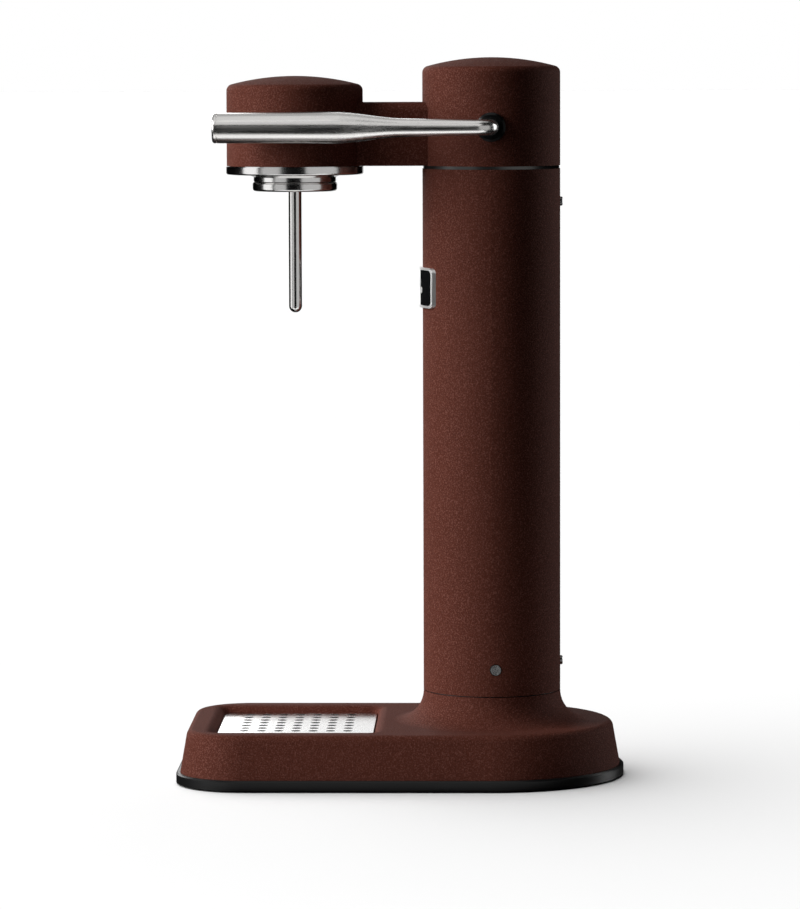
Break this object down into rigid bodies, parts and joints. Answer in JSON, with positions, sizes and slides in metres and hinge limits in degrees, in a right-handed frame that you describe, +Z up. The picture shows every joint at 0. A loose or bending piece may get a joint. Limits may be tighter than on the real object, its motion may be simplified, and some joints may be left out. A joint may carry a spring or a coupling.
{
  "type": "soda carbonator",
  "caption": "Lever-operated drinking-water carbonator: painted column on a flat base with a drip tray, a head and nozzle on an arm, and a gas cylinder inside.",
  "frame": {"origin": "centre of the footprint, on the floor", "axes": "+Z up, -Y towards the front where the bottle stands, +X towards the lever"},
  "size_m": [0.153, 0.258, 0.4156],
  "materials": {
    "paint": "sand-grained matt powder coat",
    "plinth_plastic": "satin black",
    "rubber": "matt",
    "seal_rubber": "soft",
    "inner_plastic": "moulded",
    "brushed_steel": "brushed",
    "polished_steel": "mirror",
    "screw_steel": "plain",
    "spring_steel": "drawn wire",
    "brass": "turned",
    "cast_alloy": "cast",
    "cylinder_paint": "gloss",
    "badge_black": "gloss",
    "hose_plastic": "translucent white"
  },
  "bodies": {
    "housing": {"base_shell": "paint", "column_tube": "paint", "rear_cap": "paint", "front_cap": "paint", "arm_bridge": "paint", "base_skirt": "plinth_plastic", "pivot_bush": "plinth_plastic", "rubber_feet": "rubber", "bottle_seal": "seal_rubber", "nozzle_seal": "seal_rubber", "valve_seal": "seal_rubber", "neck_ring": "inner_plastic", "cylinder_guide": "inner_plastic", "badge_frame": "brushed_steel", "badge_motif": "brushed_steel", "seam_ring": "polished_steel", "trim_ring": "polished_steel", "underside_dish": "polished_steel", "bottle_collar": "polished_steel", "nozzle_tube": "polished_steel", "base_screws": "screw_steel", "side_screws": "screw_steel", "rear_screws": "screw_steel", "arm_screws": "screw_steel", "cap_screws": "screw_steel", "collar_screws": "screw_steel", "block_screws": "screw_steel", "bearing_screws": "screw_steel", "stop_pins": "screw_steel", "relief_spring": "spring_steel", "actuator_spring": "spring_steel", "return_spring": "spring_steel", "nozzle_holder": "brass", "relief_valve_body": "brass", "relief_cap": "brass", "valve_block": "brass", "hose_fittings": "brass", "head_frame": "cast_alloy", "bearing_blocks": "cast_alloy", "badge_plate": "badge_black", "gas_hose": "hose_plastic"},
    "lever": {"lever_arm": "brushed_steel", "lever_end_cap": "brushed_steel", "cam": "screw_steel", "cam_set_screw": "screw_steel", "shaft_circlip": "screw_steel"},
    "actuator": {"actuator_pin": "screw_steel"},
    "cylinder": {"gas_cylinder": "cylinder_paint", "cylinder_valve": "brass"},
    "cylinder_pin": {"cylinder_valve_pin": "screw_steel"},
    "pan": {"drip_pan": "inner_plastic"},
    "grille": {"drip_grille": "polished_steel"},
    "relief": {"relief_poppet": "brass"}
  },
  "joints": [
    {"name": "lever_pivot", "type": "hinge", "parent": "housing", "child": "lever", "pos_m": [0, 0.0525, 0.376], "axis": [1, 0, 0], "range_deg": [0, 50], "stiffness_Nm_per_rad": 1, "springref_deg": -34.38},
    {"name": "actuator_travel", "type": "slide", "parent": "housing", "child": "actuator", "axis": [0, 0, -1], "range_m": [0, 0.0027], "deforming": ["actuator_spring"]},
    {"name": "cylinder_removal", "type": "slide", "parent": "housing", "child": "cylinder", "axis": [0, 0, -1], "range_m": [0, 0.36]},
    {"name": "cylinder_pin_travel", "type": "slide", "parent": "cylinder", "child": "cylinder_pin", "axis": [0, 0, -1], "range_m": [0, 0.0027]},
    {"name": "drip_pan_lift", "type": "slide", "parent": "housing", "child": "pan", "axis": [0, 0, 1], "range_m": [0, 0.04]},
    {"name": "drip_grille_lift", "type": "slide", "parent": "pan", "child": "grille", "axis": [0, 0, 1], "range_m": [0, 0.03]},
    {"name": "relief_lift", "type": "slide", "parent": "housing", "child": "relief", "axis": [0, 0, 1], "range_m": [0, 0.0015], "stiffness_N_per_m": 150, "springref_m": -0.006, "deforming": ["relief_spring"]}
  ],
  "couplings": [
    {"joint": "actuator_travel", "follows": "lever_pivot", "m_per_rad": 0.003},
    {"joint": "cylinder_pin_travel", "follows": "lever_pivot", "m_per_rad": 0.003}
  ]
}
